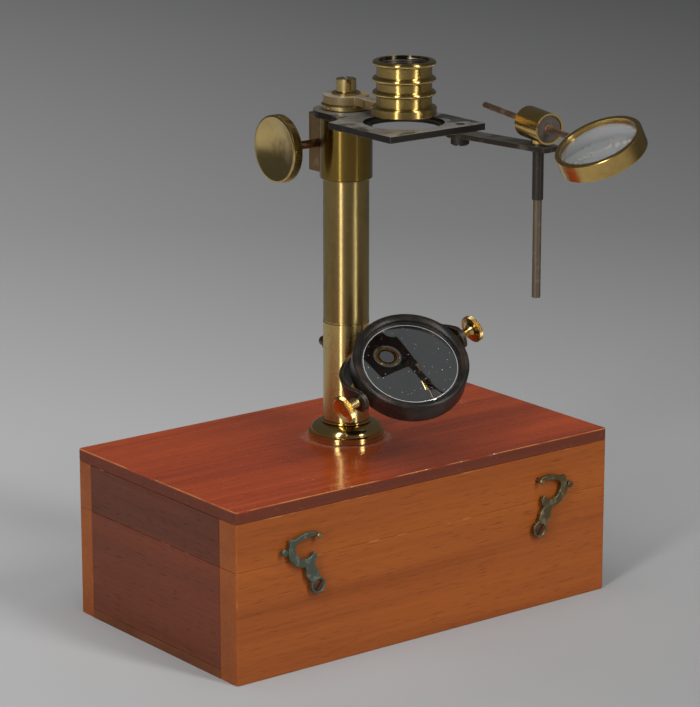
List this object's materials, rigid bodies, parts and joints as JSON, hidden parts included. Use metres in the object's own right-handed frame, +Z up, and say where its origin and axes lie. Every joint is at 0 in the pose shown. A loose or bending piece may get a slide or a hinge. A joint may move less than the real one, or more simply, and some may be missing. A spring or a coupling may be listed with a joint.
{
  "type": "case-mounted compound microscope stand",
  "caption": "Brass microscope stand screwed into the lid of its mahogany case, with rack focus, fixed stage, gimballed mirror and swinging bull's-eye condenser.",
  "frame": {"origin": "middle of the underside of the case, which stands on the table", "axes": "+X along the case to its right end seen from the front with the hooks, +Y to the hinged back, +Z up along the pillar"},
  "size_m": [0.18, 0.1988, 0.2198],
  "materials": {
    "front_wood": "satin varnished mahogany",
    "end_wood": "darker satin mahogany",
    "top_wood": "glossy french polished mahogany",
    "lacquered_brass": "turned and lacquered",
    "tarnished_brass": "dull, lacquer worn away",
    "brown_brass": "darkened coppery brown",
    "dull_brass": "unpolished",
    "bronzed_brass": "black bronze, worn on the edges",
    "verdigris_brass": "grey-green tarnish",
    "olive_brass": "dull olive tarnish",
    "black_japan": "black japan, brown with age",
    "mirror_glass": "silvered glass with a bevelled edge",
    "lens_glass": "clear polished",
    "dark_cork": "dark cork packing"
  },
  "bodies": {
    "case": {"case_bottom": "end_wood", "case_front": "front_wood", "case_back": "front_wood", "case_left_end": "end_wood", "case_right_end": "end_wood", "case_hinge_leaves": "dull_brass", "hinge_pins": "dull_brass", "case_hinge_screws": "dull_brass", "hook_screws": "olive_brass"},
    "lid": {"lid_top": "top_wood", "lid_front": "front_wood", "lid_back": "front_wood", "lid_left_end": "end_wood", "lid_right_end": "end_wood", "lid_hinge_leaves": "dull_brass", "lid_hinge_screws": "dull_brass", "catch_studs": "olive_brass", "lid_bush": "dull_brass", "bush_screws": "dull_brass", "pillar_foot": "lacquered_brass", "lower_pillar": "lacquered_brass", "main_tube": "lacquered_brass", "top_sleeve": "lacquered_brass", "pinion_box": "brown_brass", "pinion_cap": "brown_brass", "cap_screws": "dull_brass", "stage_plate": "bronzed_brass", "swing_screw": "bronzed_brass"},
    "left_hook": {"hook_left": "verdigris_brass"},
    "right_hook": {"hook_right": "olive_brass"},
    "focus_carriage": {"focus_post": "lacquered_brass", "focus_rack": "brown_brass", "post_collar": "lacquered_brass", "arm_washer": "lacquered_brass", "clamp_screw": "lacquered_brass"},
    "lens_holder": {"lens_arm": "tarnished_brass", "body_ring": "lacquered_brass"},
    "pinion_knob": {"pinion": "lacquered_brass", "pinion_shaft": "brown_brass", "focus_knob": "lacquered_brass"},
    "fork": {"mirror_fork": "black_japan", "fork_stub": "brown_brass", "stub_nut": "lacquered_brass"},
    "mirror": {"mirror_dish": "black_japan", "mirror_glass": "mirror_glass", "mirror_bezel": "black_japan"},
    "right_thumbscrew": {"thumbscrew_right": "lacquered_brass"},
    "left_thumbscrew": {"thumbscrew_left": "lacquered_brass"},
    "condenser_arm": {"swing_arm": "bronzed_brass", "rod_socket": "bronzed_brass"},
    "condenser_post": {"upright_rod": "brown_brass"},
    "condenser_barrel": {"rod_barrel": "lacquered_brass", "barrel_cork": "dark_cork", "barrel_bush": "brown_brass"},
    "condenser_rod": {"lens_rod": "brown_brass"},
    "condenser_lens": {"lens_mount": "lacquered_brass", "bulls_eye": "lens_glass", "lens_ring": "lacquered_brass"}
  },
  "joints": [
    {"name": "lid_hinge", "type": "hinge", "parent": "case", "child": "lid", "pos_m": [0, 0.0541, 0.0434], "axis": [-1, 0, 0], "range_deg": [0, 95]},
    {"name": "hook_left_turn", "type": "hinge", "parent": "case", "child": "left_hook", "pos_m": [-0.0542, -0.0536, 0.0324], "axis": [0, -1, 0], "range_deg": [-27, 145]},
    {"name": "hook_right_turn", "type": "hinge", "parent": "case", "child": "right_hook", "pos_m": [0.0542, -0.0536, 0.0324], "axis": [0, 1, 0], "range_deg": [-27, 145]},
    {"name": "focus_slide", "type": "slide", "parent": "lid", "child": "focus_carriage", "axis": [0, 0, 1], "range_m": [0, 0.022]},
    {"name": "lens_arm_swing", "type": "hinge", "parent": "focus_carriage", "child": "lens_holder", "pos_m": [0.002, 0.002, 0.2005], "axis": [0, 0, 1], "range_deg": [-60, 150]},
    {"name": "pinion_turn", "type": "hinge", "parent": "lid", "child": "pinion_knob", "pos_m": [0.002, 0.012, 0.1823], "axis": [-1, 0, 0], "range_deg": [0, 421]},
    {"name": "fork_turn", "type": "hinge", "parent": "lid", "child": "fork", "pos_m": [0.002, -0.0107, 0.1022], "axis": [0, -1, 0], "range_deg": [-69, 30]},
    {"name": "mirror_tilt", "type": "hinge", "parent": "fork", "child": "mirror", "pos_m": [0.002, -0.037, 0.1022], "axis": [0.9455, 0, 0.3256], "range_deg": [-90, 60]},
    {"name": "thumbscrew_right_turn", "type": "hinge", "parent": "fork", "child": "right_thumbscrew", "pos_m": [0.002, -0.037, 0.1022], "axis": [0.9455, 0, 0.3256], "range_deg": [-180, 180]},
    {"name": "thumbscrew_left_turn", "type": "hinge", "parent": "fork", "child": "left_thumbscrew", "pos_m": [0.002, -0.037, 0.1022], "axis": [0.9455, 0, 0.3256], "range_deg": [-180, 180]},
    {"name": "condenser_arm_swing", "type": "hinge", "parent": "lid", "child": "condenser_arm", "pos_m": [0.016, -0.049, 0.1928], "axis": [0, 0, 1], "range_deg": [-60, 75]},
    {"name": "condenser_post_slide", "type": "slide", "parent": "condenser_arm", "child": "condenser_post", "axis": [0, 0, 1], "range_m": [0, 0.036]},
    {"name": "barrel_swivel", "type": "hinge", "parent": "condenser_post", "child": "condenser_barrel", "pos_m": [0.02191, -0.08633, 0.2009], "axis": [0, 0, -1], "range_deg": [-90, 90]},
    {"name": "lens_rod_slide", "type": "slide", "parent": "condenser_barrel", "child": "condenser_rod", "axis": [0.1477, 0.9881, 0.0419], "range_m": [-0.025, 0.015]},
    {"name": "lens_roll", "type": "hinge", "parent": "condenser_rod", "child": "condenser_lens", "pos_m": [0.01799, -0.11262, 0.19979], "axis": [-0.1477, -0.9881, -0.0419], "range_deg": [-60, 60]}
  ],
  "couplings": [
    {"joint": "pinion_turn", "follows": "focus_slide", "rad_per_m": 333.33}
  ]
}
